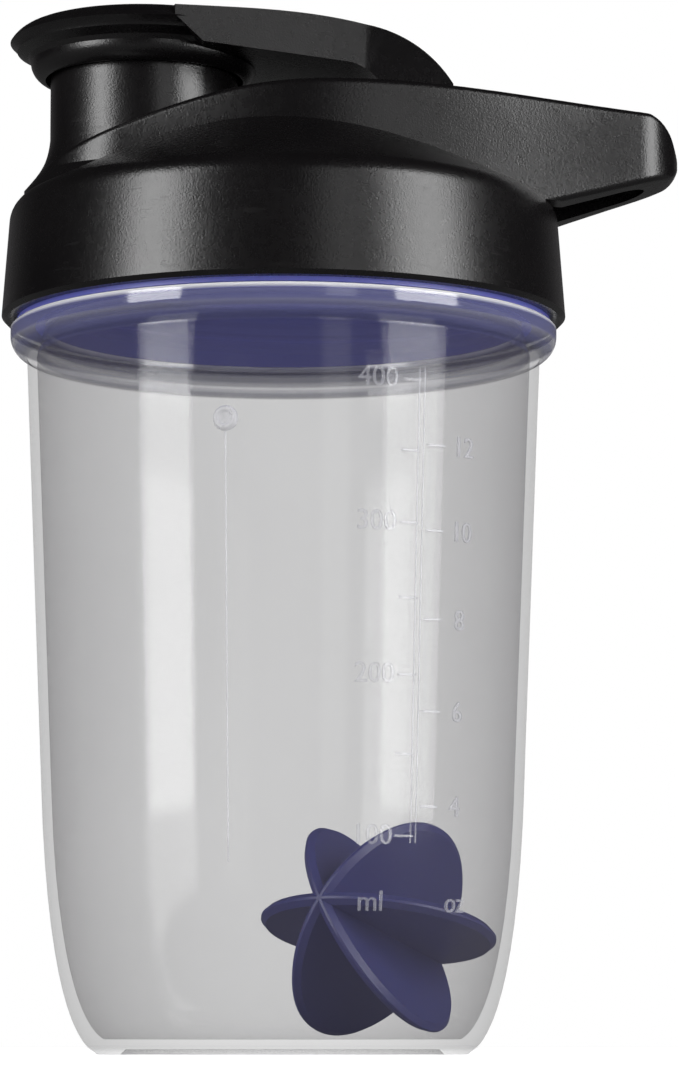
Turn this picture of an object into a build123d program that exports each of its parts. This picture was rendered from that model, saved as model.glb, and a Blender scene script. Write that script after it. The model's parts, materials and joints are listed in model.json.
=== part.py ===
from build123d import *

import math
import os

# Shaker bottle: a clear threaded cup, a screw lid with a drinking spout and a carry loop,
# a flip cap on a hinge pin, two soft seals and a loose agitator.
# Millimetres. +Z is up and the origin is the centre of the cup's standing ring.
# The spout is on the -X side and the carry loop on the +X side.

# ---------------------------------------------------------------- cup
neck_radius = 38.4
shoulder_step = 1.2  # the wall under the flange is this much wider than the neck
shoulder_height = 106.7  # underside of the stop flange
knee_inset = 2.8  # the wall is this much narrower at the knee than at the shoulder
knee_height = 38.6  # the wall is curved below this and straight above it
foot_inset = 8.2  # and this much narrower again where it meets the table
cup_wall = 1.5
floor_thickness = 1.5
floor_recess = 0.8  # the floor stands this far above the standing ring
foot_ring_width = 4.0
foot_toe = 2.6  # height of the first, outward-leaning part of the foot's curve
foot_fullness = 0.55
edge_break = 0.4  # small rounding on moulded edges

flange_step = 3.8  # the flange stands this far out from the neck
flange_thickness = 4.8
flange_under = 3.3  # height of its rounded underside
neck_wall = 1.5
neck_height = 14.0  # above the flange
thread_pitch = 5.0
thread_depth = 1.1
thread_base = 2.4
thread_crest = 1.0
thread_sink = 0.3  # the ridge's root is sunk this far into the wall
thread_rise = 5.0  # middle of the cup's ridge above the flange, where it starts
cup_thread_turns = 1.0
liner_thread_turns = 1.25

# ---------------------------------------------------------------- lid
skirt_wall = 2.3  # at its lower edge
skirt_height = 17.6
skirt_draft = 1.1  # the skirt is this much narrower at its top
skirt_gap = 0.9  # above the flange
skirt_edge = 0.7
shoulder_round = 2.2
roof_slope = 0.49
roof_wall = 2.3
cavity_inset = 0.4  # the air space under the roof ends inside the spout's far wall
crown_radius = 20.0  # the roof is flat inside this
fit_gap = 0.1  # between the liner and the shell's skirt
thread_gap = 0.3
liner_wall = 1.4  # behind the root of the liner's thread
liner_gap = 0.25  # above the flange
liner_top = 1.2
seal_thickness = 1.1
seal_gap = 0.1
plug_ring_depth = 4.5
plug_ring_wall = 1.4
plug_ring_gap = 0.3
plug_ring_lead = 0.4

spout_radius = 14.6
spout_wall = 2.0
spout_rise = 23.6  # above the top of the skirt
spout_lip_round = 0.7
spout_flare = 4.2  # the spout's root spreads by this much
spout_flare_low = 2.4  # bottom of the flare above the top of the skirt
spout_flare_high = 12.5
spout_collar = 2.0  # the body wraps the spout at this distance
wrap_angle = 100.0  # degrees, where the body's side leaves the spout
body_cheek = 9.0  # the raised body at its widest, outside the arm
body_waist = 4.7  # it has narrowed by this much halfway to the tip
body_widest_run = 24.8  # these runs are from the spout's axis
body_shoulder_run = 14.3
body_crest_run = 35.8
body_back_run = 18.2  # before the tip
body_front_rise = 4.0  # heights above the top of the skirt, from the spout to the loop
body_spout_rise = 11.6
body_shoulder_rise = 15.4
body_crest_rise = 16.8
body_back_rise = 15.3
body_sink = 0.4  # its underside is this far below the top of the skirt
body_edge_round = 1.1
loop_overhang = 17.6  # the loop's tip stands this far out from the skirt
loop_tip_radius = 8.2
loop_tip_angle = 76.0  # degrees of the tip's round on each side
loop_end_rise = 14.2
loop_end_run = 4.7  # the top ends this far before the tip
loop_corner = 4.2  # height of the rounded corner under the top
loop_lip_rise = 7.4
loop_chin = 3.4
hole_run = 27.7  # the finger hole starts this far before the tip
hole_back_radius = 6.2
hole_tip_radius = 4.6
loop_wall = 5.2  # at the tip

# ---------------------------------------------------------------- flip cap and hinge
hinge_run = 43.6  # from the spout's axis to the pin
hinge_rise = 15.0  # above the top of the skirt
pin_radius = 1.25
pin_clearance = 0.06
pin_engagement = 2.6  # length of pin in each ear
ear_radius = 3.0
ear_width = 3.6
knuckle_radius = 4.3
knuckle_gap = 0.6  # under the knuckle
trough_room = 3.0  # in front of the knuckle
trough_back = 1.6  # behind the knuckle
trough_over = 1.0  # above the body's crest
ramp_run = 9.0  # length of the ramp that the opened arm leans on
arm_side_gap = 0.35
arm_half_width = 12.0
arm_start_run = 3.8  # from the spout's axis to where the arm's top leaves the cover
arm_root_run = 9.8  # its underside starts here
arm_crown_run = 12.8
arm_level_run = 23.8
arm_thickness = 6.0  # at its root
arm_under_fall = 1.8  # the underside comes down this much towards the knee
arm_under_round = 4.0
arm_throat = 3.5  # end of the underside above the pin
arm_root_drop = 0.6  # the arm's top lies this much under the cover's, at each place along it
arm_crown_drop = 0.45
arm_level_drop = 0.55
arm_knee = 9.0  # the arm bends down this far before the hinge
arm_knee_drop = 1.8
arm_heel = 2.6  # top of the knuckle's straight back above the pin
cap_overhang = 3.2  # outside the collar
cap_inset = 0.2  # the cover's edge stands this far out from the top of the skirt
cap_rise = 5.1  # top of the cover above the spout's rim
cap_rim_drop = 2.3  # widest line of the cover below its top
cap_rim_run = 5.5  # width of the rounded rim
cap_step = 0.9
collar_wall = 2.3
collar_gap = 0.8  # around the spout
collar_depth = 3.0  # down the spout from its rim
collar_height = 2.8
collar_lip = 1.0
cap_rim_gap = 1.2  # above the spout's rim
plug_gap = 0.35
plug_taper = 1.2
plug_depth = 4.4
plug_wall = 1.6
plug_web = 1.5
stud_radius = 3.0
stud_height = 1.6
stud_gap = 0.2  # over the stud, in its pocket

# ---------------------------------------------------------------- agitator
disc_radius = 18.0
disc_thickness = 2.0
disc_edge_round = 0.8
disc_count = 3
hub_radius = 1.7
agitator_lean = 4.0  # the discs reach this far outside the foot's radius
agitator_y = 0.0
agitator_clearance = 0.2  # above the floor
agitator_axis = (0.50, 0.83, -0.24)  # the line that the discs share
agitator_flat = (0.10, 0.22, 0.97)  # normal of the disc that lies nearly level

# ---------------------------------------------------------------- places that follow
floor_top = floor_recess + floor_thickness
flange_top = shoulder_height + flange_thickness
lip_top = flange_top + neck_height
neck_bore = neck_radius - neck_wall
shoulder_radius = neck_radius + shoulder_step
knee_radius = shoulder_radius - knee_inset
foot_radius = knee_radius - foot_inset
flange_radius = neck_radius + flange_step
skirt_bottom = flange_top + skirt_gap
skirt_top = skirt_bottom + skirt_height
seal_bottom = lip_top + seal_gap
liner_ceiling = seal_bottom + seal_thickness + seal_gap
shell_land = liner_ceiling + liner_top
liner_bottom = flange_top + liner_gap
liner_root = neck_radius + thread_depth + thread_gap
liner_radius = liner_root + liner_wall
shell_bore = liner_radius + fit_gap
skirt_radius = shell_bore + skirt_wall
skirt_top_radius = skirt_radius - skirt_draft
collar_bore = spout_radius + collar_gap
collar_radius = collar_bore + collar_wall
cap_radius = collar_radius + cap_overhang
spout_x = cap_radius - cap_inset - skirt_top_radius
hinge_x = spout_x + hinge_run
body_half_width = arm_half_width + body_cheek
body_widest_x = spout_x + body_widest_run
loop_reach = skirt_radius + loop_overhang
hole_back_x = loop_reach - hole_run
arm_root_x = spout_x + arm_root_run
agitator_x = foot_radius + agitator_lean - disc_radius
plug_ring_radius = neck_bore - plug_ring_gap
spout_bore = spout_radius - spout_wall
spout_top = skirt_top + spout_rise
hinge_z = skirt_top + hinge_rise
spout_axis = Axis((spout_x, 0, 0), (0, 0, 1))
spout_plane = Plane((spout_x, 0, 0), x_dir=(1, 0, 0), z_dir=(0, -1, 0))
trough_floor = hinge_z - knuckle_radius - knuckle_gap
trough_half_width = arm_half_width + arm_side_gap
cavity_top = trough_floor - roof_wall
cap_ceiling = spout_top + cap_rim_gap
collar_bottom = spout_top - collar_depth
flare_bottom = collar_bottom + collar_height
cap_top = spout_top + cap_rise
joint_overlap = 0.1  # features of one piece run this far into each other
far = 150.0  # reaches past the whole bottle


def roof_z(radius):
    """Height of the lid's conical roof at a radius."""
    return skirt_top + roof_slope * (skirt_top_radius - radius)


def ridge(radius, depth, start_z, turns):
    """A helical thread ridge on a wall of this radius; a negative depth points inwards.

    Its root is sunk a little into the wall, so that the two become one solid.
    """
    sink = -thread_sink if depth > 0 else thread_sink
    with BuildPart() as thread:
        with BuildLine():
            Helix(pitch=thread_pitch, height=thread_pitch * turns, radius=radius)
        with BuildSketch(Plane.XZ):
            with BuildLine():
                Polyline(
                    (radius + sink, -thread_base / 2),
                    (radius, -thread_base / 2),
                    (radius + depth, -thread_crest / 2),
                    (radius + depth, thread_crest / 2),
                    (radius, thread_base / 2),
                    (radius + sink, thread_base / 2),
                    close=True,
                )
            make_face()
        sweep(is_frenet=True)
    return Pos(0, 0, start_z) * thread.part


def wall_curve(foot, knee):
    """Control points of the cup's curved lower wall, tangent to the straight wall at the knee."""
    draft = (shoulder_radius - knee_radius) / (shoulder_height - knee_height)
    drop = foot_fullness * (knee[1] - foot[1])
    toe = (foot[0] + foot_fullness * (knee[0] - foot[0]), foot[1] + foot_toe)
    return foot, toe, (knee[0] - draft * drop, knee[1] - drop), knee


def build_cup():
    """Clear cup: recessed floor, curved foot, straight wall, stop flange and threaded neck."""
    inner_foot = (foot_radius - cup_wall, floor_top)
    inner_knee = (knee_radius - cup_wall, knee_height)
    outer_foot = (foot_radius, edge_break)
    with BuildPart() as cup:
        with BuildSketch(Plane.XZ):
            with BuildLine():
                Polyline(
                    inner_foot,
                    (0, floor_top),
                    (0, floor_recess),
                    (foot_radius - foot_ring_width - floor_recess, floor_recess),
                    (foot_radius - foot_ring_width, 0),
                    (foot_radius - edge_break, 0),
                    outer_foot,
                )
                Bezier(*wall_curve(outer_foot, (knee_radius, knee_height)))
                Line((knee_radius, knee_height), (shoulder_radius, shoulder_height))
                underside = ThreePointArc(
                    (shoulder_radius, shoulder_height),
                    (0.27 * shoulder_radius + 0.73 * flange_radius, shoulder_height + 0.36 * flange_under),
                    (flange_radius, shoulder_height + flange_under),
                )
                Polyline(
                    underside @ 1,
                    (flange_radius, flange_top - edge_break),
                    (flange_radius - edge_break, flange_top),
                    (neck_radius, flange_top),
                    (neck_radius, lip_top - edge_break),
                    (neck_radius - edge_break, lip_top),
                    (neck_bore + edge_break, lip_top),
                    (neck_bore, lip_top - edge_break),
                    (neck_bore, flange_top),
                    (shoulder_radius - cup_wall, shoulder_height),
                    inner_knee,
                )
                Bezier(*wall_curve(inner_foot, inner_knee))
            make_face()
        revolve(axis=Axis.Z)
        add(ridge(neck_radius, thread_depth, flange_top + thread_rise, cup_thread_turns))
    return cup.part


def body_plan():
    """Plan of the raised body: round about the spout, widest behind it, narrowing to the loop's tip."""
    wrap = spout_radius + spout_collar
    wrap_x = spout_x + wrap * math.cos(math.radians(wrap_angle))
    wrap_y = wrap * math.sin(math.radians(wrap_angle))
    tip_angle = math.radians(loop_tip_angle)
    tip_x = loop_reach - loop_tip_radius
    tip_start_x = tip_x + loop_tip_radius * math.cos(tip_angle)
    tip_start_y = loop_tip_radius * math.sin(tip_angle)
    with BuildSketch() as plan:
        with BuildLine():
            Spline(
                (wrap_x, wrap_y),
                (body_widest_x, body_half_width),
                (0.5 * (body_widest_x + tip_x), body_half_width - body_waist),
                (tip_start_x, tip_start_y),
                tangents=[
                    (math.sin(math.radians(wrap_angle)), -math.cos(math.radians(wrap_angle))),
                    (math.sin(tip_angle), -math.cos(tip_angle)),
                ],
            )
            mirror(about=Plane.XZ)
            ThreePointArc((wrap_x, wrap_y), (spout_x - wrap, 0), (wrap_x, -wrap_y))
            ThreePointArc((tip_start_x, tip_start_y), (loop_reach, 0), (tip_start_x, -tip_start_y))
        make_face()
    return plan.sketch


def body_side():
    """Side view of the raised body: a low arch that falls to the spout and runs out into the loop."""
    front_x = spout_x - spout_radius - 2 * spout_collar
    back_x = loop_reach + joint_overlap
    base_z = skirt_top - body_sink
    end_z = skirt_top + loop_end_rise
    lip_z = skirt_top + loop_lip_rise
    with BuildSketch(Plane.XZ.offset(-far / 2)) as side:
        with BuildLine():
            top = Spline(
                (front_x, skirt_top + body_front_rise),
                (spout_x, skirt_top + body_spout_rise),
                (spout_x + body_shoulder_run, skirt_top + body_shoulder_rise),
                (spout_x + body_crest_run, skirt_top + body_crest_rise),
                (loop_reach - body_back_run, skirt_top + body_back_rise),
                (loop_reach - loop_end_run, end_z),
            )
            corner = ThreePointArc(
                top @ 1,
                (loop_reach - 0.45 * loop_end_run, end_z - 0.43 * loop_corner),
                (loop_reach - 0.17 * loop_end_run, end_z - loop_corner),
            )
            lip = Line(corner @ 1, (back_x, lip_z))
            chin = ThreePointArc(
                lip @ 1,
                (loop_reach - 0.18 * loop_chin, lip_z - 0.65 * loop_chin),
                (loop_reach - 0.76 * loop_chin, lip_z - loop_chin),
            )
            Polyline(chin @ 1, (skirt_top_radius + body_sink, base_z), (front_x, base_z), top @ 0)
        make_face()
    return side.sketch


def build_raised_body():
    """The lid's raised body with its top edge rounded and the carry loop's finger hole cut."""
    hole_tip_x = loop_reach - loop_wall - hole_tip_radius
    with BuildPart() as body:
        extrude(body_plan(), amount=2 * far)
        extrude(body_side(), amount=far, mode=Mode.INTERSECT)
        rims = body.edges().filter_by(Axis.Z, reverse=True)
        fillet(rims.filter_by(lambda edge: edge.center().Z > skirt_top + body_edge_round), body_edge_round)
        with BuildSketch():
            with Locations((hole_back_x + hole_back_radius, 0)):
                Circle(hole_back_radius)
            with Locations((hole_tip_x, 0)):
                Circle(hole_tip_radius)
            make_hull()
        extrude(amount=2 * far, mode=Mode.SUBTRACT)
    return body.part


def build_trough():
    """The space in the lid that the flip cap's knuckle turns in, with a ramp for the arm behind it."""
    front_x = hinge_x - knuckle_radius - trough_room
    back_x = hinge_x + knuckle_radius + trough_back
    high = skirt_top + body_crest_rise + trough_over
    with BuildPart() as trough:
        with BuildSketch(Plane.XZ):
            Polygon(
                (front_x, trough_floor),
                (back_x, trough_floor),
                (back_x + ramp_run, high),
                (front_x, high),
                align=None,
            )
        extrude(amount=trough_half_width, both=True)
    return trough.part


def build_roof_cavity():
    """Air space under the roof, around the spout's tube."""
    rim = spout_radius - spout_x - cavity_inset
    with BuildPart() as cavity:
        with BuildSketch(Plane.XZ):
            Polygon(
                (0, shell_land),
                (rim, shell_land),
                (rim, roof_z(rim) - roof_wall),
                (skirt_top_radius - (cavity_top + roof_wall - skirt_top) / roof_slope, cavity_top),
                (0, cavity_top),
                align=None,
            )
        revolve(axis=Axis.Z)
        with BuildSketch(Plane.XY.offset(shell_land)):
            with Locations((spout_x, 0)):
                Circle(spout_radius)
        extrude(amount=far, mode=Mode.SUBTRACT)
    return cavity.part


def build_spout_root():
    """Concave flare that carries the spout's tube down into the roof."""
    low = skirt_top + spout_flare_low
    high = skirt_top + spout_flare_high
    foot = spout_radius + spout_flare
    tube = spout_radius - joint_overlap
    with BuildPart() as root:
        with BuildSketch(spout_plane):
            with BuildLine():
                Bezier(
                    (tube, high),
                    (spout_radius + joint_overlap, high - 0.55 * (high - low)),
                    (spout_radius + 0.4 * spout_flare, low + 0.3 * (high - low)),
                    (foot, low),
                )
                Polyline((foot, low), (foot, shell_land), (tube, shell_land), (tube, high))
            make_face()
        revolve(axis=spout_axis)
        with BuildSketch(Plane.XY.offset(shell_land)):
            Circle(skirt_top_radius - shoulder_round)
        extrude(amount=far, mode=Mode.INTERSECT)
    return root.part


def build_lid_shell():
    """Black outer lid: skirt, conical roof, raised body, spout tube, hinge ears and carry loop."""
    with BuildPart() as lid_shell:
        with BuildSketch(Plane.XZ):
            with BuildLine():
                skirt = Polyline(
                    (0, skirt_bottom),
                    (skirt_radius - skirt_edge, skirt_bottom),
                    (skirt_radius, skirt_bottom + skirt_edge),
                    (skirt_top_radius, skirt_top - shoulder_round),
                )
                roof_start = (skirt_top_radius - shoulder_round, roof_z(skirt_top_radius - shoulder_round))
                shoulder = TangentArc(skirt @ 1, roof_start, tangent=skirt % 1)
                roof_end = (crown_radius, roof_z(crown_radius))
                Polyline(shoulder @ 1, roof_end, (0, roof_z(crown_radius)), (0, skirt_bottom))
            make_face()
        revolve(axis=Axis.Z)
        add(build_raised_body())
        add(build_spout_root())
        with BuildSketch(Plane.XY.offset(shell_land)):
            with Locations((spout_x, 0)):
                Circle(spout_radius)
        extrude(amount=spout_top - shell_land)
        fillet(lid_shell.edges().group_by(Axis.Z)[-1], spout_lip_round)
        add(build_trough(), mode=Mode.SUBTRACT)
        with BuildSketch(Plane.XZ.offset(trough_half_width), Plane.XZ.offset(-trough_half_width - ear_width)):
            with Locations((hinge_x, hinge_z)):
                Circle(ear_radius)
        extrude(amount=ear_width)
        with BuildSketch(Plane.XZ.offset(trough_half_width + pin_engagement)):
            with Locations((hinge_x, hinge_z)):
                Circle(pin_radius)
        extrude(amount=-far, mode=Mode.SUBTRACT)
        add(build_roof_cavity(), mode=Mode.SUBTRACT)
        with BuildSketch(Plane.XY.offset(skirt_bottom)):
            Circle(shell_bore)
        extrude(amount=shell_land - skirt_bottom, mode=Mode.SUBTRACT)
        with BuildSketch(Plane.XY.offset(skirt_bottom)):
            with Locations((spout_x, 0)):
                Circle(spout_bore)
        extrude(amount=far, mode=Mode.SUBTRACT)
    return lid_shell.part


def build_lid_liner():
    """Indigo liner: internal thread, ceiling with the spout's hole, and a plug ring inside the neck."""
    with BuildPart() as lid_liner:
        with BuildSketch(Plane.XZ):
            Polygon(
                (0, shell_land),
                (liner_radius, shell_land),
                (liner_radius, liner_bottom),
                (liner_root, liner_bottom),
                (liner_root, liner_ceiling),
                (plug_ring_radius, liner_ceiling),
                (plug_ring_radius - plug_ring_lead, lip_top - plug_ring_depth),
                (plug_ring_radius - plug_ring_wall, lip_top - plug_ring_depth),
                (plug_ring_radius - plug_ring_wall, liner_ceiling),
                (0, liner_ceiling),
                align=None,
            )
        revolve(axis=Axis.Z)
        with BuildSketch(Plane.XY.offset(liner_ceiling)):
            with Locations((spout_x, 0)):
                Circle(spout_bore)
        extrude(amount=liner_top, mode=Mode.SUBTRACT)
        start = flange_top + thread_rise - thread_pitch / 2
        add(ridge(liner_root, -thread_depth, start, liner_thread_turns))
    return lid_liner.part


def build_lid_seal():
    """Flat silicone ring between the cup's lip and the liner's ceiling."""
    with BuildPart() as lid_seal:
        with BuildSketch(Plane.XY.offset(seal_bottom)):
            Circle(liner_root - seal_gap)
            Circle(plug_ring_radius + seal_gap, mode=Mode.SUBTRACT)
        extrude(amount=seal_thickness)
    return lid_seal.part


def tangent_point(radius, centre_x, x, y):
    """Where a line from (x, y) touches a circle that is centred on the X axis."""
    reach = math.hypot(x - centre_x, y)
    angle = math.atan2(y, x - centre_x) + math.acos(radius / reach)
    return centre_x + radius * math.cos(angle), radius * math.sin(angle)


def arm_side():
    """Side view of the flip cap's arm: level over the spout, then curving down to the knuckle."""
    knuckle_back = hinge_x + knuckle_radius
    knee_x = hinge_x - arm_knee
    under = cap_top - arm_thickness - arm_under_fall
    with BuildSketch(Plane.XZ) as side:
        with BuildLine():
            crown = Spline(
                (spout_x + arm_start_run, cap_top - arm_root_drop),
                (spout_x + arm_crown_run, cap_top - arm_crown_drop),
                (spout_x + arm_level_run, cap_top - arm_level_drop),
                (knee_x, cap_top - arm_knee_drop),
            )
            heel = TangentArc(crown @ 1, (knuckle_back, hinge_z + arm_heel), tangent=crown % 1)
            down = Line(heel @ 1, (knuckle_back, hinge_z))
            knuckle = ThreePointArc(
                down @ 1,
                (hinge_x, hinge_z - knuckle_radius),
                (hinge_x - knuckle_radius, hinge_z),
            )
            throat = Line(knuckle @ 1, (knee_x + 0.4 * arm_under_round, hinge_z + arm_throat))
            notch = TangentArc(throat @ 1, (knee_x - 0.6 * arm_under_round, under), tangent=throat % 1)
            Polyline(notch @ 1, (arm_root_x, cap_top - arm_thickness), crown @ 0)
        make_face()
    return side.sketch


def arm_plan():
    """Plan of the arm: its sides run from the knuckle to touch the round cover."""
    knee_x = hinge_x - arm_knee
    heel_x = hinge_x + 2 * knuckle_radius
    touch_x, touch_y = tangent_point(cap_radius - joint_overlap, spout_x, knee_x, arm_half_width)
    with BuildSketch() as plan:
        with BuildLine():
            Polyline(
                (spout_x, 0),
                (touch_x, touch_y),
                (knee_x, arm_half_width),
                (heel_x, arm_half_width),
                (heel_x, -arm_half_width),
                (knee_x, -arm_half_width),
                (touch_x, -touch_y),
                close=True,
            )
        make_face()
    return plan.sketch


def cover_section():
    """Half section of the round cover: rim, step, flare and a collar that curves in around the spout."""
    rim_z = cap_top - cap_rim_drop
    step_z = rim_z - cap_step
    step_radius = cap_radius - cap_step
    with BuildSketch(spout_plane) as section:
        with BuildLine():
            upper = Polyline((0, collar_bottom), (0, cap_top), (cap_radius - cap_rim_run, cap_top))
            edge = ThreePointArc(
                upper @ 1,
                (cap_radius - 0.29 * cap_rim_run, cap_top - 0.29 * cap_rim_drop),
                (cap_radius, rim_z),
            )
            flare = Polyline(
                edge @ 1,
                (step_radius, step_z),
                (step_radius - 0.2 * cap_step, step_z - 0.5 * cap_step),
                (collar_radius + 0.5 * cap_step, flare_bottom + 0.8 * cap_step),
                (collar_radius, flare_bottom),
            )
            lip = ThreePointArc(
                flare @ 1,
                (collar_radius - 0.6 * collar_lip, collar_bottom + collar_lip),
                (collar_bore + 0.4 * collar_lip, collar_bottom),
            )
            Line(lip @ 1, (0, collar_bottom))
        make_face()
    return section.sketch


def build_flip_cap():
    """Black flip cap: round cover with a collar, a broad arm and the hinge knuckle."""
    with BuildPart() as flip_cap:
        extrude(arm_side(), amount=far / 2, both=True)
        extrude(arm_plan(), amount=2 * far, mode=Mode.INTERSECT)
        revolve(cover_section(), axis=spout_axis)
        with BuildSketch(Plane.XY.offset(cap_ceiling - far)):
            with Locations((spout_x, 0)):
                Circle(collar_bore)
        extrude(amount=far, mode=Mode.SUBTRACT)
        with BuildSketch(Plane.XY.offset(cap_ceiling)):
            with Locations((spout_x, 0)):
                Circle(stud_radius)
        extrude(amount=stud_height, mode=Mode.SUBTRACT)
        with BuildSketch(Plane.XZ):
            with Locations((hinge_x, hinge_z)):
                Circle(pin_radius + pin_clearance)
        extrude(amount=far, both=True, mode=Mode.SUBTRACT)
    return flip_cap.part


def build_spout_seal():
    """Soft plug in the cap: a disc over the spout's rim, a hollow plug in its bore, and a stud."""
    plug_radius = spout_bore - plug_gap
    disc_bottom = spout_top + plug_gap
    plug_bottom = disc_bottom - plug_depth
    with BuildPart() as spout_seal:
        with BuildSketch(spout_plane):
            Polygon(
                (0, cap_ceiling + stud_height - stud_gap),
                (stud_radius, cap_ceiling + stud_height - stud_gap),
                (stud_radius, cap_ceiling),
                (spout_radius, cap_ceiling),
                (spout_radius, disc_bottom),
                (plug_radius, disc_bottom),
                (plug_radius - plug_taper, plug_bottom),
                (plug_radius - plug_taper - plug_wall, plug_bottom),
                (plug_radius - plug_taper - plug_wall, cap_ceiling - plug_web),
                (0, cap_ceiling - plug_web),
                align=None,
            )
        revolve(axis=spout_axis)
    return spout_seal.part


def build_hinge_pin():
    """Steel pin: blind in the near ear and driven in through the far one."""
    with BuildPart() as hinge_pin:
        with BuildSketch(Plane.XZ.offset(trough_half_width + pin_engagement)):
            with Locations((hinge_x, hinge_z)):
                Circle(pin_radius)
        extrude(amount=-2 * (trough_half_width + pin_engagement))
    return hinge_pin.part


def disc_planes(centre_z):
    """Planes of the agitator's discs, turned in equal steps about the line that they share."""
    shared = Vector(agitator_axis).normalized()
    level = Vector(agitator_flat)
    first = (level - shared * level.dot(shared)).normalized()
    centre = (agitator_x, agitator_y, centre_z)
    turns = [180.0 / disc_count * step for step in range(disc_count)]
    return [Plane(centre, x_dir=shared, z_dir=first.rotate(Axis((0, 0, 0), shared), turn)) for turn in turns]


def disc_reach_down(plane):
    """How far a disc on this plane reaches below its centre."""
    tilt = abs(plane.z_dir.Z)
    return disc_radius * math.sqrt(1 - tilt**2) + tilt * disc_thickness / 2


def build_agitator():
    """Loose agitator: discs that cross on one diameter, lying tilted on the cup's floor."""
    centre_z = floor_top + agitator_clearance + max(disc_reach_down(plane) for plane in disc_planes(0))
    planes = disc_planes(centre_z)
    with BuildPart() as disc:
        with BuildSketch(Plane.XZ) as section:
            Rectangle(disc_radius, disc_thickness, align=(Align.MIN, Align.CENTER))
            fillet(section.vertices().group_by(Axis.X)[-1], disc_edge_round)
        revolve(axis=Axis.Z)
    hub_plane = Plane(planes[0].origin, x_dir=planes[0].z_dir, z_dir=planes[0].x_dir)
    with BuildPart() as core:
        with BuildSketch(hub_plane):
            Circle(hub_radius - joint_overlap)
        extrude(amount=2 * disc_radius, both=True)
    vanes = [plane.location * disc.part - core.part for plane in planes]
    with BuildPart() as agitator:
        with BuildSketch(hub_plane):
            Circle(hub_radius)
        extrude(amount=disc_radius - disc_edge_round, both=True)
        add(vanes)
    return agitator.part


pieces = {
    "cup": build_cup,
    "agitator": build_agitator,
    "lid_shell": build_lid_shell,
    "lid_liner": build_lid_liner,
    "lid_seal": build_lid_seal,
    "flip_cap": build_flip_cap,
    "spout_seal": build_spout_seal,
    "hinge_pin": build_hinge_pin,
}

os.makedirs("parts", exist_ok=True)
for name, build in pieces.items():
    piece = build()
    piece.label = name
    export_step(piece, f"parts/{name}.step")
    print(f"{name}: {piece.volume / 1000:.2f} cm3, {len(piece.solids())} solid")
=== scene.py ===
# %% [markdown]
# # A shaker bottle, finished around its CAD frame
#
# The bottle is a milky clear cup, a black screw lid with a drinking spout and a carry loop,
# a flip cap on a steel pin, two soft seals, an indigo liner, and a loose indigo agitator.
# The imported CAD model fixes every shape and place. This file gives the surfaces their
# finish, adds what is moulded on them, and sets up the studio.

import json
import math

import bmesh
import bpy
from mathutils import Matrix, Vector

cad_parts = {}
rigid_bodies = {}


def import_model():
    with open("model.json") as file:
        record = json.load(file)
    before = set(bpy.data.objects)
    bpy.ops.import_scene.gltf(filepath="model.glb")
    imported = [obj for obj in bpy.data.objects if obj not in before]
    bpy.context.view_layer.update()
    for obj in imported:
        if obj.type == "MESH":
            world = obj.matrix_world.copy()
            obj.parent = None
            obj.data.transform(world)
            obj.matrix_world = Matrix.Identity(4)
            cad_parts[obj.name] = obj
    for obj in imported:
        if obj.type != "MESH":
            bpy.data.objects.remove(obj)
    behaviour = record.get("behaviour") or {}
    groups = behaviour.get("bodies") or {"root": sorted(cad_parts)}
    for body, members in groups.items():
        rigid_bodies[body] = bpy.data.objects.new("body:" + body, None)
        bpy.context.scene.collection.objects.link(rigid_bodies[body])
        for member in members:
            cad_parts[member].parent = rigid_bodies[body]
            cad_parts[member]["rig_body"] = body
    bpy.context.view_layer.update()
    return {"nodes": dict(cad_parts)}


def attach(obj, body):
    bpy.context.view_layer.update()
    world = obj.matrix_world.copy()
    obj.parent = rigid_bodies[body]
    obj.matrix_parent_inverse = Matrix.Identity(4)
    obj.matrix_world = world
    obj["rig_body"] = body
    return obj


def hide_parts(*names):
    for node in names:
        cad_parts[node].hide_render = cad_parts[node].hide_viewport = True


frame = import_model()
nodes = frame["nodes"]
MM = 0.001
scene = bpy.context.scene

# %% [markdown]
# ## Smooth skins for the CAD solids
#
# A moulded part has no facets. The CAD meshes are loose triangles, so their normals can't
# run smoothly from one to the next. Rebuilding each shape by hand would risk its fits, so
# each node is copied, its corners are merged, and only creases sharper than a set angle
# stay sharp. The shape is exactly the CAD one.


# %% Make an object at the origin
def new_piece(name, mesh):
    """An object at the origin, unturned and unscaled, with its place in its mesh."""
    piece = bpy.data.objects.new(name, mesh)
    scene.collection.objects.link(piece)
    return piece


# %% Copy a node as a smooth piece
def smooth_copy(node, name, crease=28.0):
    """A merged, smooth-shaded copy of a CAD node that stands for it and rides on its body."""
    mesh = nodes[node].data.copy()
    mesh.name = name
    mesh.materials.clear()
    if mesh.has_custom_normals:
        mesh.attributes.remove(mesh.attributes["custom_normal"])
    shape = bmesh.new()
    shape.from_mesh(mesh)
    bmesh.ops.remove_doubles(shape, verts=shape.verts, dist=0.002 * MM)
    bmesh.ops.dissolve_degenerate(shape, edges=shape.edges, dist=0.0005 * MM)
    shape.to_mesh(mesh)
    shape.free()
    mesh.shade_smooth()
    mesh.set_sharp_from_angle(angle=math.radians(crease))
    piece = new_piece(name, mesh)
    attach(piece, nodes[node]["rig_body"])
    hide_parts(node)
    print(name, "has", len(mesh.polygons), "faces")
    return piece


# %% [markdown]
# ## Small helpers for node trees
#
# Materials, the world and the rules for repeated shapes are all node trees. Adding a node
# takes three steps: make it, set its options, feed its inputs. One function does the three,
# so that each tree below reads like a list of what the finish is made of.


# %% Feed an input
def feed(socket, value):
    """Give an input a fixed value, or link it to another node's output."""
    if isinstance(value, bpy.types.NodeSocket):
        socket.id_data.links.new(value, socket)
    else:
        socket.default_value = value


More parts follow.
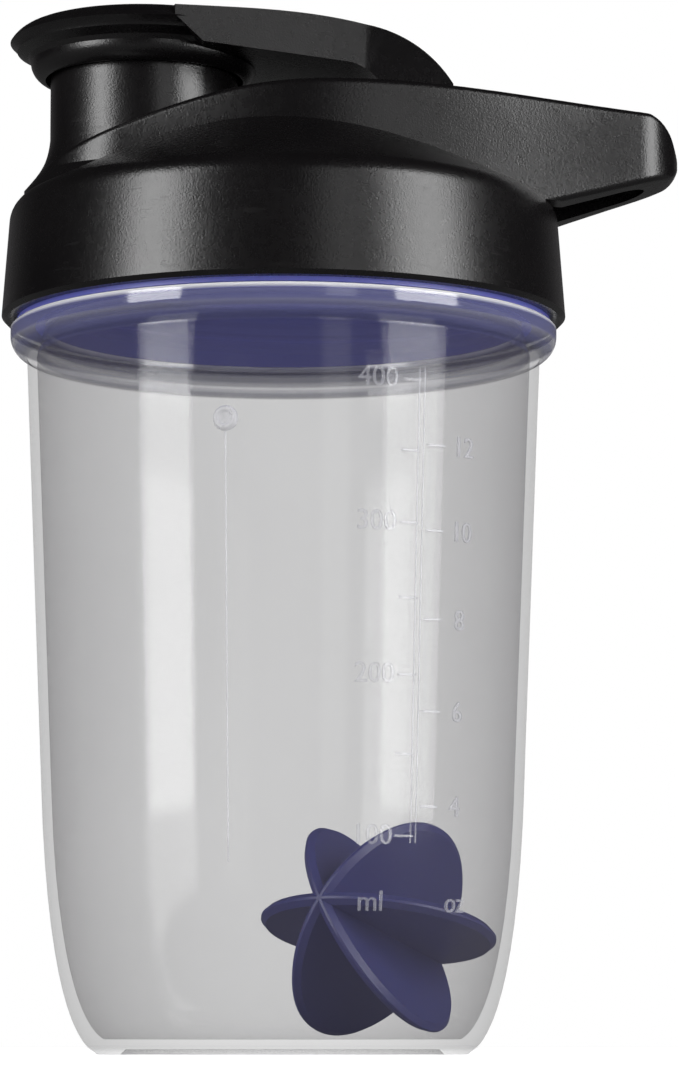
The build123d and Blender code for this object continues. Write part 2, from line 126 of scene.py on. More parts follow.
# %% Add a node
def add_node(tree, kind, inputs=None, **settings):
    """Add a node with these settings and inputs, and give its outputs; a list feeds one input."""
    made = tree.nodes.new(kind)
    for key, value in settings.items():
        setattr(made, key, value)
    for key, value in (inputs or {}).items():
        for source in value if isinstance(value, list) else [value]:
            feed(made.inputs[key], source)
    return made.outputs


# %% [markdown]
# ## Small helpers for materials
#
# Every finish is a node tree that reads Object coordinates, so a pattern keeps its real
# size in metres and stays put when the lid turns or the cap opens.


# %% Material helpers
class Finish:
    """A material with one Principled shader, and short ways to add nodes to it."""

    def __init__(self, name):
        self.material = bpy.data.materials.new(name)
        self.material.use_nodes = True
        self.tree = self.material.node_tree
        self.shader = self.tree.nodes["Principled BSDF"]
        self.place = self.add("ShaderNodeTexCoord")["Object"]

    def add(self, kind, inputs=None, **settings):
        return add_node(self.tree, kind, inputs, **settings)

    def noise(self, scale, detail=3.0, stretch=(1, 1, 1)):
        """Noise whose features are about 1/scale metres across."""
        place = self.add("ShaderNodeMapping", {"Vector": self.place, "Scale": stretch})["Vector"]
        pattern = {"Vector": place, "Scale": scale, "Detail": detail, "Roughness": 0.55}
        return self.add("ShaderNodeTexNoise", pattern)["Fac"]

    def cells(self, scale):
        """Rounded grains, as spark erosion leaves in a mould."""
        pattern = {"Vector": self.place, "Scale": scale, "Smoothness": 0.6}
        return self.add("ShaderNodeTexVoronoi", pattern, feature="SMOOTH_F1")["Distance"]

    def ramp(self, value, low, high, start=0.0, end=1.0):
        """Maps a value from start..end to low..high."""
        limits = {"Value": value, "From Min": start, "From Max": end, "To Min": low, "To Max": high}
        return self.add("ShaderNodeMapRange", limits)["Result"]

    def tint(self, value, dark, light):
        """A colour between two, by a value from 0 to 1."""
        ends = {"Factor": value, "A": (*dark, 1), "B": (*light, 1)}
        return self.add("ShaderNodeMix", ends, data_type="RGBA")["Result"]

    def combine(self, first, second, operation="ADD"):
        """The sum of two values, or their product."""
        return self.add("ShaderNodeMath", {0: first, 1: second}, operation=operation)["Value"]

    def bump(self, height, distance, strength=1.0):
        """Relief of this depth in metres."""
        relief = {"Height": height, "Distance": distance, "Strength": strength}
        self.set(Normal=self.add("ShaderNodeBump", relief)["Normal"])

    def set(self, **inputs):
        """Feed the shader's inputs; an underscore stands for a space in an input's name."""
        for key, value in inputs.items():
            feed(self.shader.inputs[key.replace("_", " ")], value)


# %% [markdown]
# ## Black satin plastic
#
# The lid and the cap are moulded from black polypropylene in a spark-eroded mould. Close
# up the surface is a field of shallow grains a few tenths of a millimetre across, which
# spreads every highlight. Handling polishes it unevenly, so the roughness wanders, and a
# few hairline scratches cross it. A painted picture of grain would blur close up, so the
# grains are cells and noise worked out at every point.


# %% Black plastic
def black_plastic(name, grain=2600.0, gloss=0.27):
    """Black plastic with this many grains a metre and this mean roughness."""
    finish = Finish(name)
    broad = finish.noise(42.0, detail=4.0)
    fine = finish.noise(900.0, detail=2.0)
    scratches = finish.noise(150.0, detail=1.0, stretch=(1.0, 0.8, 9.0))
    worn = finish.combine(finish.ramp(broad, gloss - 0.07, gloss + 0.07), finish.ramp(fine, -0.04, 0.04))
    hair = finish.ramp(scratches, 0.0, 0.05, start=0.68, end=0.74)
    grains = finish.ramp(finish.cells(grain), 0.0, 0.35)
    finish.bump(finish.combine(grains, finish.noise(grain * 1.5, detail=1.0)), 0.030 * MM, strength=0.9)
    finish.set(Base_Color=finish.tint(broad, (0.0022, 0.0019, 0.0022), (0.0052, 0.0045, 0.0049)))
    finish.set(Roughness=finish.combine(worn, hair), IOR=1.49, Specular_IOR_Level=0.5)
    return finish.material


black = black_plastic("black_satin_plastic")
print("made", black.name)

# %% [markdown]
# ## Milky clear plastic
#
# The cup is natural polypropylene: clear enough to see the agitator, with a grey haze.
# Seen edge on, its walls gather light and look denser, so the haze grows towards grazing
# angles. A refracting solid would put everything inside it in shadow, so the wall is a
# thin hazy skin that lets most light straight through. The skin's thinness also thins its
# reflection, so its index of refraction is raised until the gloss is that of a real wall.
# The stop flange under the lid is solid and three times as thick. It is milkier, and it is painted in bands
# by height: the indigo bands are a painted refraction of the liner seen through it, and the white upper edge
# is a painted highlight.

# %% Painted refraction and highlight layers of the stop flange
flange_low = 106.9
flange_high = 111.4
flange_painted_layers = [
    # share of the flange's height, painted colour (liner refraction, top highlight), added density
    (0.00, (0.140, 0.145, 0.30), 0.34),
    (0.18, (0.140, 0.145, 0.30), 0.34),
    (0.28, (0.300, 0.300, 0.42), 0.08),
    (0.40, (0.440, 0.440, 0.52), 0.10),
    (0.50, (0.150, 0.155, 0.30), 0.50),
    (0.82, (0.120, 0.125, 0.27), 0.50),
    (1.00, (1.000, 1.000, 1.00), 1.00),
]


def layer_ramp(finish, share, colours):
    """A colour by share of the flange's height, from a list of colours, one for each layer."""
    ramp = finish.tree.nodes.new("ShaderNodeValToRGB")
    feed(ramp.inputs["Fac"], share)
    stops = ramp.color_ramp.elements
    for layer in flange_painted_layers[1:-1]:
        stops.new(layer[0])
    # a new stop shuffles the ones held before it, so they are coloured once all are there
    for stop, colour in zip(stops, colours):
        stop.color = (*colour, 1)
    return ramp.outputs["Color"]


print("flange layers:", len(flange_painted_layers), "from", flange_low, "to", flange_high, "mm")


# %% Clear plastic
def clear_plastic(name, haze=0.14, edge=0.36, colour=(0.101, 0.095, 0.104)):
    """Hazy plastic that is this dense seen straight on, and this dense edge on."""
    finish = Finish(name)
    cloud = finish.noise(28.0, detail=3.0)
    flow = finish.noise(90.0, detail=2.0, stretch=(1.0, 1.0, 0.12))
    height = finish.add("ShaderNodeSeparateXYZ", {"Vector": finish.place})["Z"]
    share = finish.ramp(height, 0.0, 1.0, start=flange_low * MM, end=flange_high * MM)
    # painted flange bands: indigo painted refraction of the liner, and a white painted highlight on the
    # upper edge
    layers = layer_ramp(finish, share, [layer[1] for layer in flange_painted_layers])
    density = layer_ramp(finish, share, [(layer[2],) * 3 for layer in flange_painted_layers])
    flange = finish.combine(
        finish.ramp(height, 0.0, 1.0, start=(flange_low - 0.4) * MM, end=flange_low * MM),
        finish.ramp(height, 1.0, 0.0, start=flange_high * MM, end=(flange_high + 0.2) * MM),
        "MULTIPLY",
    )
    light = tuple(min(1.0, channel * 1.06) for channel in colour)
    parts = {"Factor": flange, "A": finish.tint(cloud, colour, light), "B": layers}
    facing = finish.add("ShaderNodeLayerWeight", {"Blend": 0.32})["Facing"]
    body = finish.combine(finish.ramp(facing, haze, edge), finish.ramp(cloud, -0.015, 0.015))
    finish.bump(flow, 0.03 * MM, strength=0.25)
    finish.set(Base_Color=finish.add("ShaderNodeMix", parts, data_type="RGBA")["Result"])
    finish.set(Alpha=finish.combine(body, finish.combine(flange, density, "MULTIPLY")))
    finish.set(Roughness=finish.ramp(flow, 0.05, 0.12), IOR=1.6, Specular_IOR_Level=0.65)
    return finish.material


clear = clear_plastic("milky_clear_plastic")
print("made", clear.name)

# %% [markdown]
# ## Indigo plastic
#
# The liner and the agitator are the same coloured polypropylene, slightly translucent, so light softens in
# it. The liner is thin and lit from both sides, so it is given a lighter indigo, which is painted light: a
# lit copy of the same plastic. Tracing light through it would be slow and noisy, so both plastics also glow
# a little in their own colour instead, a painted glow for the light that would come through.


# %% Indigo plastic
def indigo_plastic(name, dark, light, soften, painted_glow):
    """Coloured plastic that softens light by this share, and glows with this much of its colour as painted
    light.
    """
    finish = Finish(name)
    broad = finish.noise(60.0, detail=4.0)
    pigment = finish.tint(broad, dark, light)
    finish.bump(finish.noise(1400.0, detail=2.0), 0.02 * MM, strength=0.5)
    # the emission is a painted glow, standing in for light coming through the plastic
    finish.set(Base_Color=pigment, Emission_Color=pigment, Emission_Strength=painted_glow)
    finish.set(Roughness=finish.ramp(broad, 0.34, 0.48), IOR=1.49)
    finish.set(Subsurface_Weight=soften, Subsurface_Scale=2 * MM)
    return finish.material


# the liner's lighter colours are painted lit-through brightness, and both plastics carry a painted glow
indigo = indigo_plastic("indigo_plastic", (0.036, 0.038, 0.15), (0.050, 0.053, 0.19), 0.12, 0.14)
painted_lit_indigo = indigo_plastic("thin_indigo_plastic", (0.085, 0.092, 0.33), (0.110, 0.118, 0.40), 0.25, 0.36)
print("made", indigo.name, "and", painted_lit_indigo.name)

# %% [markdown]
# ## Silicone
#
# The two seals are soft: a milky ring between the cup and the liner, and a grey plug under
# the flip cap. Silicone is duller than the hard plastics and has a fine tooth, so that it
# grips. One recipe with two colours makes both.


# %% Silicone
def silicone(name, dark, light):
    """Dull, slightly translucent rubber between these two colours."""
    finish = Finish(name)
    finish.bump(finish.noise(3000.0, detail=1.0), 0.015 * MM, strength=0.4)
    finish.set(Base_Color=finish.tint(finish.noise(120.0), dark, light))
    finish.set(Roughness=finish.ramp(finish.noise(400.0), 0.45, 0.62), IOR=1.41)
    finish.set(Subsurface_Weight=0.1, Subsurface_Scale=1 * MM)
    return finish.material


pale_silicone = silicone("milky_silicone", (0.55, 0.56, 0.58), (0.66, 0.67, 0.69))
grey_silicone = silicone("grey_silicone", (0.030, 0.030, 0.034), (0.048, 0.048, 0.053))
print("made", pale_silicone.name, "and", grey_silicone.name)

# %% [markdown]
# ## Steel wire
#
# The hinge pin is a length of drawn wire, so it carries fine lines along it. The lines are
# noise squeezed hard in the pin's direction, which runs along Y.


# %% Steel wire
def steel_wire(name):
    """Bright steel with drawing lines along Y."""
    finish = Finish(name)
    drawn = finish.noise(2400.0, detail=2.0, stretch=(1.0, 0.03, 1.0))
    finish.bump(drawn, 0.01 * MM, strength=0.5)
    finish.set(Base_Color=finish.tint(drawn, (0.46, 0.46, 0.47), (0.62, 0.62, 0.63)))
    finish.set(Roughness=finish.ramp(drawn, 0.22, 0.38), Metallic=1.0)
    return finish.material


steel = steel_wire("drawn_steel")
print("made", steel.name)

# %% [markdown]
# ## Finishes on the solids
#
# Each moulded piece is one plastic all over, as it comes from one mould, so each node gets
# one finish. The agitator isn't here, because a rule makes it below.

# %% Put the finishes on the solids
finishes = {
    "cup": ("cup_shell", clear, "clear_plastic"),
    "lid_shell": ("lid_cover", black, "black_plastic"),
    "lid_liner": ("lid_inner", painted_lit_indigo, "indigo_plastic"),
    "lid_seal": ("lid_ring_seal", pale_silicone, "clear_silicone"),
    "flip_cap": ("flip_cap_cover", black, "black_plastic"),
    "spout_seal": ("spout_plug", grey_silicone, "grey_silicone"),
    "hinge_pin": ("hinge_wire", steel, "pin_steel"),
}
pieces = {}
for node, (name, material, slot) in finishes.items():
    pieces[node] = smooth_copy(node, name)
    pieces[node].data.materials.append(material)

# %% [markdown]
# ## Small helpers for rules
#
# What repeats is made by Geometry Nodes: a tree with named sizes copies one shape onto
# points. Its inputs are set by their identifiers before it first runs. It runs once, and
# the result is kept as a plain mesh, so nothing is left to work out later.


# %% Rule helpers
class Rule:
    """A Geometry Nodes tree with named inputs, which is built, run once and taken off."""

    def __init__(self, name, inputs):
        self.tree = bpy.data.node_groups.new(name, "GeometryNodeTree")
        self.keys = {}
        for label, kind in inputs.items():
            socket = self.tree.interface.new_socket(label, in_out="INPUT", socket_type="NodeSocket" + kind)
            self.keys[label] = socket.identifier
        self.tree.interface.new_socket("Geometry", in_out="OUTPUT", socket_type="NodeSocketGeometry")
        self.sizes = self.add("NodeGroupInput")

    def add(self, kind, inputs=None, **settings):
        return add_node(self.tree, kind, inputs, **settings)

    def math(self, operation, first, second):
        """A sum, difference, product or other operation on two values."""
        return self.add("ShaderNodeMath", {0: first, 1: second}, operation=operation)["Value"]

    def run(self, piece, geometry, material, values):
        """End the tree with this geometry, run it on the piece, and keep the result."""
        real = self.add("GeometryNodeRealizeInstances", {"Geometry": geometry})["Geometry"]
        painted = self.add("GeometryNodeSetMaterial", {"Geometry": real, "Material": material})["Geometry"]
        self.add("NodeGroupOutput", {"Geometry": painted})
        modifier = piece.modifiers.new(self.tree.name, "NODES")
        modifier.node_group = self.tree
        for label, value in values.items():
            modifier[self.keys[label]] = value
        made = bpy.data.meshes.new_from_object(piece.evaluated_get(bpy.context.evaluated_depsgraph_get()))
        piece.modifiers.clear()
        piece.data = made


# %% [markdown]
# ## The agitator, by rule
#
# The agitator is one disc repeated: three equal discs turned in equal steps about a line
# that they share, with a thin hub along that line. It is moulded in one shot. A rule makes
# it here too: a rounded rectangle swept round a circle is the disc, and a Geometry Nodes
# tree copies and turns it. The number of discs, their size and their tilt are inputs.


# %% One disc
def agitator_disc(rule):
    """A rounded rectangle swept round a circle; the hub fills the fine hole on its axis."""
    hole = 0.3 * MM
    middle = rule.math("MULTIPLY", rule.math("ADD", rule.sizes["Radius"], hole), 0.5)
    width = rule.math("SUBTRACT", rule.sizes["Radius"], hole)
    ring = rule.add("GeometryNodeCurvePrimitiveCircle", {"Resolution": 144, "Radius": middle})["Curve"]
    box = {"Width": width, "Height": rule.sizes["Thickness"]}
    section = rule.add("GeometryNodeCurvePrimitiveQuadrilateral", box)["Curve"]
    corners = {"Curve": section, "Radius": rule.sizes["Edge Round"]}
    rounded = rule.add("GeometryNodeFilletCurve", corners)["Curve"]
    return rule.add("GeometryNodeCurveToMesh", {"Curve": ring, "Profile Curve": rounded})["Mesh"]


# %% Discs about a shared line
def discs_and_hub(rule):
    """Copies of the disc turned in equal steps about X, with the hub along X."""
    points = rule.add("GeometryNodePoints", {"Count": rule.sizes["Discs"]})["Points"]
    step = rule.math("DIVIDE", math.pi, rule.sizes["Discs"])
    number = rule.add("GeometryNodeInputIndex")["Index"]
    turn = rule.add("ShaderNodeCombineXYZ", {"X": rule.math("MULTIPLY", number, step)})["Vector"]
    copies = {"Points": points, "Instance": agitator_disc(rule), "Rotation": turn}
    discs = rule.add("GeometryNodeInstanceOnPoints", copies)["Instances"]
    rod = {"Vertices": 40, "Radius": rule.sizes["Hub Radius"], "Depth": rule.sizes["Hub Length"]}
    upright = rule.add("GeometryNodeMeshCylinder", rod)["Mesh"]
    laid = {"Geometry": upright, "Rotation": (0, math.radians(90), 0)}
    hub = rule.add("GeometryNodeTransform", laid)["Geometry"]
    joined = rule.add("GeometryNodeJoinGeometry", {"Geometry": [hub, discs]})["Geometry"]
    placed = {"Geometry": joined, "Translation": rule.sizes["Place"], "Rotation": rule.sizes["Turn"]}
    return rule.add("GeometryNodeTransform", placed)["Geometry"]


# %% The agitator in the cup
def build_agitator(sizes, shared, level):
    """The agitator lying in the cup: its shared line, and the normal of its nearly level disc."""
    corners = [Vector(v.co) for v in nodes["agitator"].data.vertices]
    low = Vector([min(c[axis] for c in corners) for axis in range(3)])
    high = Vector([max(c[axis] for c in corners) for axis in range(3)])
    along = Vector(shared).normalized()
    normal = (Vector(level) - along * along.dot(Vector(level))).normalized()
    turn = Matrix((along, normal.cross(along), normal)).transposed().to_euler()
    inputs = {"Discs": "Int", **{label: "Float" for label in sizes}, "Place": "Vector", "Turn": "Vector"}
    rule = Rule("agitator", inputs)
    values = {"Discs": 3, **sizes, "Place": tuple((low + high) / 2), "Turn": tuple(turn)}
    piece = new_piece("agitator_discs", bpy.data.meshes.new("agitator_discs"))
    rule.run(piece, discs_and_hub(rule), indigo, values)
    shape = bmesh.new()
    shape.from_mesh(piece.data)
    bmesh.ops.recalc_face_normals(shape, faces=shape.faces)
    shape.to_mesh(piece.data)
    shape.free()
    piece.data.shade_smooth()
    piece.data.set_sharp_from_angle(angle=math.radians(40))
    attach(piece, nodes["agitator"]["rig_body"])
    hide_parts("agitator")
    print("agitator has", len(piece.data.polygons), "faces and stands on", round(low.z / MM, 1), "mm")


agitator_sizes = {
    "Radius": 18.0 * MM,
    "Thickness": 2.0 * MM,
    "Edge Round": 0.8 * MM,
    "Hub Radius": 1.7 * MM,
    "Hub Length": 34.4 * MM,
}
build_agitator(agitator_sizes, shared=(0.50, 0.83, -0.24), level=(0.10, 0.22, 0.97))

# %% [markdown]
# ## The volume scale
#
# Shallow raised marks moulded on the cup: millilitres on one side of a column of short bars and fluid ounces
# on the other. They are cut into the mould, so they are as clear as the wall and show only by the light on
# their edges; here that light is painted, as a whiter plastic that grows denser edge on. The cup narrows
# downwards, so equal volumes are not at equal heights. The heights come from adding up thin slices of the
# bore until each volume is reached.

# %% The cup's outline
floor_top = 2.3
waist = 38.6
rim = 106.7
bore = [(26.6, floor_top), (29.6, 4.6), (32.2, 10.0), (34.0, 19.0), (35.1, 31.0), (35.3, waist), (38.1, rim)]
outside = [(28.6, 0.4), (31.6, 3.2), (33.9, 9.0), (35.6, 18.0), (36.6, 31.0), (36.8, waist), (39.6, rim)]


def radius_at(profile, height):
    """Radius in mm of a profile at a height in mm."""
    for (low_radius, low), (high_radius, high) in zip(profile, profile[1:]):
        if height <= high:
            share = (height - low) / (high - low)
            return low_radius + share * (high_radius - low_radius)
    return profile[-1][0]


def wall_radius(height, slice_height=1.2):
    """Radius in mm of the cup's outside: from the taper above its waist, measured below it."""
    if height > waist:
        return radius_at(outside, height)
    front = [v.co for v in pieces["cup"].data.vertices if v.co.y < 0]
    ring = [v.xy.length / MM for v in front if abs(v.z / MM - height) < slice_height]
    return max(ring) if ring else radius_at(outside, height)


print("outside radius at 100 mm:", round(wall_radius(100.0), 2))


# %% Where the marks go
def fill_height(volume, step=0.1):
    """Height in mm at which the cup holds this volume in ml."""
    height = floor_top
    held = 0.0
    while held < volume:
        held += math.pi * radius_at(bore, height) ** 2 * step / 1000
        height += step
    return height


def mark_height(volume, spread=0.93):
    """Height in mm of a mark; the mould draws the marks together a little towards the lowest."""
    lowest = fill_height(100)
    return lowest + spread * (fill_height(volume) - lowest)


ounce = 29.57
ml_marks = {volume: mark_height(volume) for volume in range(100, 401, 50)}
oz_marks = {ounces: mark_height(ounces * ounce) for ounces in range(4, 14, 2)}
ml_bars, oz_bars = 29.5, 36.0
ml_words, oz_words, oz_name = 21.5, 44.0, 45.5
column_lines = (31.3, 32.7)
print("ml heights:", {k: round(v, 1) for k, v in ml_marks.items()})


# %% Places and owners of the marks
def on_wall(azimuth, height, rise=0.0):
    """A point on the cup's outside; azimuth 0 faces the camera, and rise in mm stands off."""
    turn = math.radians(azimuth)
    reach = (wall_radius(height) + rise) * MM
    return Vector((reach * math.sin(turn), -reach * math.cos(turn), height * MM))


def cup_mark(piece):
    """Let a finished mark ride on the cup, as part of the cup's plastic."""
    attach(piece, nodes["cup"]["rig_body"])
    print(piece.name, "has", len(piece.data.polygons), "faces")
    return piece


# painted highlight: the marks get a whiter copy of the clear plastic that is denser edge on, for the light
# on their edges
painted_highlight_mark_plastic = clear_plastic("raised_mark_plastic", haze=0.16, edge=0.62, colour=(0.72, 0.72, 0.78))
print("made", painted_highlight_mark_plastic.name)

# %% [markdown]
# ## Bars of the scale, by rule
#
# Every bar is the same rib, so a small Geometry Nodes tree copies it onto a list of
# points on the wall and turns each one to face outwards. Changing the rib's length or
# depth in one place changes them all.


# %% Bars
def scale_bars(name, places, sizes):
    """Raised bars of these sizes at (azimuth in degrees, height in mm)."""
    mesh = bpy.data.meshes.new(name)
    mesh.from_pydata([on_wall(azimuth, height) for azimuth, height in places], [], [])
    rule = Rule(name, {"Geometry": "Geometry", **{label: "Float" for label in sizes}})
    position = rule.add("GeometryNodeInputPosition")["Position"]
    across = rule.add("ShaderNodeSeparateXYZ", {"Vector": position})
    outward = rule.math("ARCTAN2", across["Y"], across["X"])
    turn = rule.add("ShaderNodeCombineXYZ", {"Z": outward})["Vector"]
    sides = {"X": rule.sizes["Depth"], "Y": rule.sizes["Length"], "Z": rule.sizes["Thickness"]}
    size = rule.add("ShaderNodeCombineXYZ", sides)["Vector"]
    bar = rule.add("GeometryNodeMeshCube", {"Size": size})["Mesh"]
    copies = {"Points": rule.sizes["Geometry"], "Instance": bar, "Rotation": turn}
    piece = new_piece(name, mesh)
    rule.run(piece, rule.add("GeometryNodeInstanceOnPoints", copies)["Instances"], painted_highlight_mark_plastic, sizes)
    return cup_mark(piece)


bar_places = [(ml_bars, height) for height in ml_marks.values()]
bar_places += [(oz_bars, height) for height in oz_marks.values()]
scale_bars("scale_bars", bar_places, {"Length": 3.0 * MM, "Depth": 0.5 * MM, "Thickness": 0.35 * MM})

# %% [markdown]
# ## Numerals of the scale
#
# The numerals are flat letters bent round the cup. Each is laid out flat, then every corner
# goes to the wall: its distance along the line becomes an angle, and its depth becomes a
# radius. Mould makers engrave them the same way, on a cutter that follows the round wall.


# %% Flat letters
def flat_word(name, text, letter_height):
    """A word as a flat mesh about the origin, with capitals of this height in mm."""
    capital_share = 0.7
    curve = bpy.data.curves.new(name, "FONT")
    curve.body = text
    curve.size = letter_height * MM / capital_share
    curve.align_x = "CENTER"
    curve.align_y = "CENTER"
    curve.extrude = 0.16 * MM
    curve.resolution_u = 3
    letters = new_piece(name, curve)
    flat = bpy.data.meshes.new_from_object(letters.evaluated_get(bpy.context.evaluated_depsgraph_get()))
    bpy.data.objects.remove(letters)
    bpy.data.curves.remove(curve)
    return flat


# %% Numerals
def wall_text(name, words, letter_height):
    """Raised words on the cup: a list of (text, azimuth in degrees, height in mm)."""
    shape = bmesh.new()
    for text, azimuth, height in words:
        flat = flat_word(name, text, letter_height)
        radius = wall_radius(height) * MM
        lean = (wall_radius(height + 1) - wall_radius(height - 1)) / 2
        for corner in flat.vertices:
            turn = math.radians(azimuth) + corner.co.x / radius
            reach = radius + corner.co.z + lean * corner.co.y
            corner.co = (reach * math.sin(turn), -reach * math.cos(turn), height * MM + corner.co.y)
        shape.from_mesh(flat)
        bpy.data.meshes.remove(flat)
    bmesh.ops.remove_doubles(shape, verts=shape.verts, dist=0.0005 * MM)
    bmesh.ops.recalc_face_normals(shape, faces=shape.faces)
    mesh = bpy.data.meshes.new(name)
    shape.to_mesh(mesh)
    shape.free()
    mesh.materials.append(painted_highlight_mark_plastic)
    return cup_mark(new_piece(name, mesh))


names_height = 22.0
numerals = [(str(volume), ml_words, height) for volume, height in ml_marks.items() if volume % 100 == 0]
numerals += [(str(ounces), oz_words, height) for ounces, height in oz_marks.items()]
numerals += [("ml", ml_words, names_height), ("oz", oz_name, names_height)]
wall_text("scale_numerals", numerals, 3.0)

# %% [markdown]
# ## The nib and the fine lines
#
# Where an ejector pin stood, or the plastic entered, there is a small round nib under the
# flange, and a faint upright line runs down from it where two streams of plastic met. Two
# more fine lines frame the column of bars. A line on a tapering wall can't be a straight
# strip, so each is a row of small triangles, and each triangle stands on the wall there.


# %% A fine line
def wall_line(shape, azimuth, high, low, half_width=0.14, rise=0.07, sunk=0.05, rows=13):
    """Add a fine upright ridge of triangular section between two heights; all sizes in mm."""
    turn = math.radians(azimuth)
    half = Vector((math.cos(turn), math.sin(turn), 0)) * (half_width * MM)
    ribs = []
    for row in range(rows):
        level = high + (low - high) * row / (rows - 1)
        foot = on_wall(azimuth, level, -sunk)
        crest = on_wall(azimuth, level, rise)
        ribs.append([shape.verts.new(corner) for corner in (foot - half, crest, foot + half)])
    for upper, lower in zip(ribs, ribs[1:]):
        for side in range(3):
            after = (side + 1) % 3
            shape.faces.new((upper[side], lower[side], lower[after], upper[after]))
    shape.faces.new(ribs[0])
    shape.faces.new(list(reversed(ribs[-1])))


# %% A small ring
def wall_ring(shape, azimuth, height, radius, rise, steps=24):
    """Add a small ring that stands on the wall, with a hollow middle; all sizes in mm."""
    profile = [(0.0, 0.10), (0.45, 0.12), (0.62, 1.0), (0.80, 1.0), (1.0, -0.25)]
    turn = math.radians(azimuth)
    outward = Vector((math.sin(turn), -math.cos(turn), 0))
    along = Vector((math.cos(turn), math.sin(turn), 0))
    centre = on_wall(azimuth, height)
    middle = shape.verts.new(centre + outward * (profile[0][1] * rise * MM))
    rings = []
    for share, lift in profile[1:]:
        level = centre + outward * (lift * rise * MM)
        ring = []
        for step in range(steps):
            angle = 2 * math.pi * step / steps
            side = along * math.cos(angle) + Vector((0, 0, math.sin(angle)))
            ring.append(shape.verts.new(level + side * (share * radius * MM)))
        rings.append(ring)
    for step in range(steps):
        after = (step + 1) % steps
        shape.faces.new((middle, rings[0][step], rings[0][after]))
        for inner, outer in zip(rings, rings[1:]):
            shape.faces.new((inner[step], outer[step], outer[after], inner[after]))
    shape.faces.new(list(reversed(rings[-1])))


# %% Nib and lines on the wall
def wall_piece(name, shape):
    """Turn a finished bmesh into a mark on the cup."""
    bmesh.ops.recalc_face_normals(shape, faces=shape.faces)
    mesh = bpy.data.meshes.new(name)
    shape.to_mesh(mesh)
    shape.free()
    mesh.shade_smooth()
    mesh.set_sharp_from_angle(angle=math.radians(35))
    mesh.materials.append(painted_highlight_mark_plastic)
    return cup_mark(new_piece(name, mesh))


nib_azimuth, nib_height, nib_radius = -11.8, 92.0, 1.9
weld_length = 62.4
nib = bmesh.new()
wall_ring(nib, nib_azimuth, nib_height, nib_radius, rise=0.8)
wall_line(nib, nib_azimuth, nib_height - nib_radius, nib_height - nib_radius - weld_length)
wall_piece("moulding_nib", nib)
column = bmesh.new()
for azimuth in column_lines:
    wall_line(column, azimuth, ml_marks[400] + 2.0, ml_marks[100] - 1.0)
wall_piece("scale_column", column)

# %% [markdown]
# ## Studio
#
# The bottle stands on a white table before a white backdrop. The camera sees both as pure
# white, but surfaces see a dim room, because black plastic in a white room would look
# grey. Only low down behind the bottle is the room bright, where the cup's edges look.


# %% Surround
def studio_world(backdrop, surround, behind):
    """A white backdrop that the camera sees; surfaces see it low down behind, and a dim room elsewhere."""
    world = bpy.data.worlds.new("studio")
    world.use_nodes = True
    tree = world.node_tree

    def limits(value, start, end):
        span = {"Value": value, "From Min": start, "From Max": end}
        return add_node(tree, "ShaderNodeMapRange", span)["Result"]

    view = add_node(tree, "ShaderNodeTexCoord")["Generated"]
    direction = add_node(tree, "ShaderNodeSeparateXYZ", {"Vector": view})
    sides = {0: limits(direction["Y"], 0.62, 0.95), 1: limits(direction["Z"], 0.40, 0.22)}
    rear = add_node(tree, "ShaderNodeMath", sides, operation="MULTIPLY")["Value"]
    shares = {0: rear, 1: behind, 2: surround}
    glow = add_node(tree, "ShaderNodeMath", shares, operation="MULTIPLY_ADD")["Value"]
    room = tree.nodes["Background"]
    feed(room.inputs["Color"], (1.0, 0.97, 0.99, 1))
    feed(room.inputs["Strength"], glow)
    white = {"Color": (1, 1, 1, 1), "Strength": backdrop}
    screen = add_node(tree, "ShaderNodeBackground", white)["Background"]
    seen = add_node(tree, "ShaderNodeLightPath")["Is Camera Ray"]
    mixed = add_node(tree, "ShaderNodeMixShader", {"Fac": seen, 1: room.outputs["Background"], 2: screen})
    feed(tree.nodes["World Output"].inputs["Surface"], mixed["Shader"])
    scene.world = world
    print("world strength for surfaces:", surround, "and", surround + behind, "behind")


studio_world(backdrop=1.0, surround=0.015, behind=0.10)


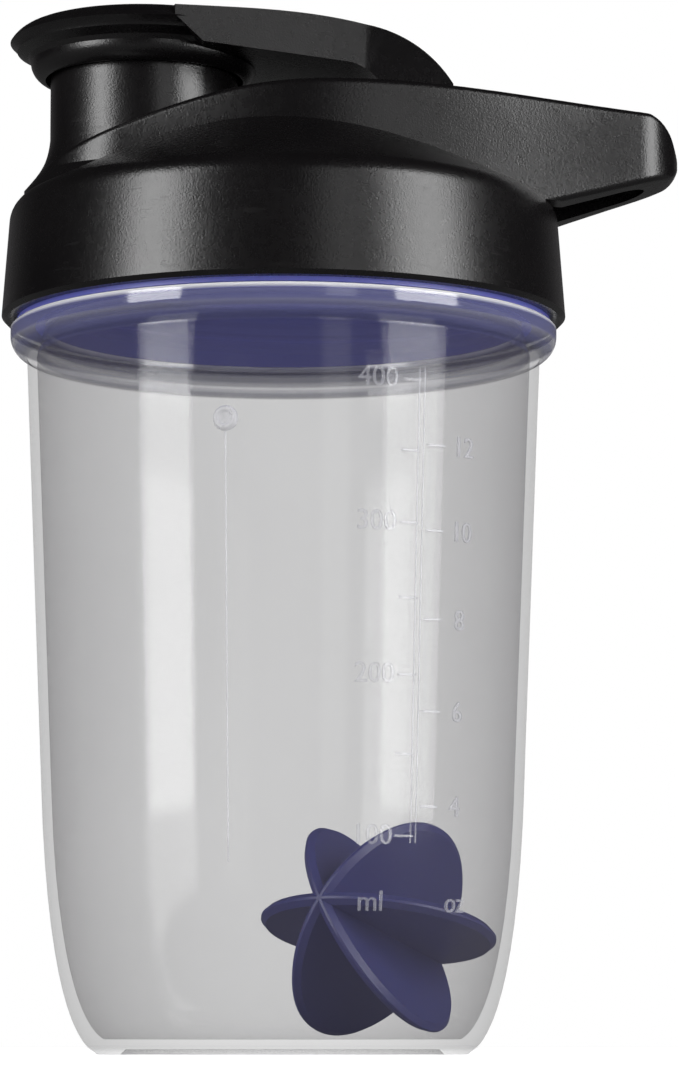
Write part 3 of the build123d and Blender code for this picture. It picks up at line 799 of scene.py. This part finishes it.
# %% Table
def pale_floor(size):
    """A white card under the bottle, which is pure white to the camera and greyer to surfaces."""
    mesh = bpy.data.meshes.new("studio_floor")
    half = size / 2
    corners = [(-half, -half, 0), (half, -half, 0), (half, half, 0), (-half, half, 0)]
    mesh.from_pydata(corners, [], [(0, 1, 2, 3)])
    floor = new_piece("studio_floor", mesh)
    finish = Finish("white_card")
    seen = finish.add("ShaderNodeLightPath")["Is Camera Ray"]
    card = finish.combine(finish.ramp(seen, 0.14, 0.88), finish.ramp(finish.noise(3.0), -0.01, 0.01))
    finish.set(Base_Color=card, Roughness=0.8)
    finish.set(Emission_Color=(1, 1, 1, 1), Emission_Strength=finish.ramp(seen, 0.05, 0.95))
    mesh.materials.append(finish.material)
    print("table is", size, "m across")


pale_floor(6.0)

# %% [markdown]
# ## Lights
#
# Two tall soft boxes stand in front, left and right. The gap between them is what makes
# the black lid read as round: two bright upright bands with darkness between them. A
# third, weak box lifts the faces that look straight forward.


# %% Lights
def soft_box(name, azimuth, elevation, distance, width, height, watts):
    """A rectangular light on a sphere about the bottle's middle; azimuth 0 is the camera's side."""
    middle = Vector((0, 0, 80 * MM))
    turn = math.radians(azimuth)
    lift = math.radians(elevation)
    away = Vector((math.sin(turn) * math.cos(lift), -math.cos(turn) * math.cos(lift), math.sin(lift)))
    data = bpy.data.lights.new(name, "AREA")
    data.shape = "RECTANGLE"
    data.size = width
    data.size_y = height
    data.energy = watts
    lamp = new_piece(name, data)
    lamp.location = middle + away * distance
    lamp.rotation_euler = away.to_track_quat("Z", "Y").to_euler()


soft_box("soft_box_left", -53, 8, distance=0.9, width=0.38, height=1.1, watts=11.5)
soft_box("soft_box_right", 61, 8, distance=0.9, width=0.46, height=1.1, watts=13.0)
soft_box("front_fill", 24, 16, distance=1.1, width=0.24, height=0.8, watts=0.85)

# %% [markdown]
# ## Camera
#
# A long lens just above the table, about 0.65 m away and tilted up, so that the near
# edge of the lid rises and the walls of the cup stay almost parallel.

# %% Camera
camera_distance = 645 * MM
camera_height = 1.5 * MM
camera_aside = 8.65 * MM
camera_tilt = 6.89
camera_data = bpy.data.cameras.new("camera")
camera_data.sensor_width = 36.0
camera_data.sensor_fit = "AUTO"
camera_data.lens = 141.9
camera = new_piece("camera", camera_data)
camera.location = (camera_aside, -camera_distance, camera_height)
camera.rotation_euler = (math.radians(90 + camera_tilt), 0, 0)
scene.camera = camera
scene.view_settings.view_transform = "Standard"
print("camera lens:", camera_data.lens, "mm")
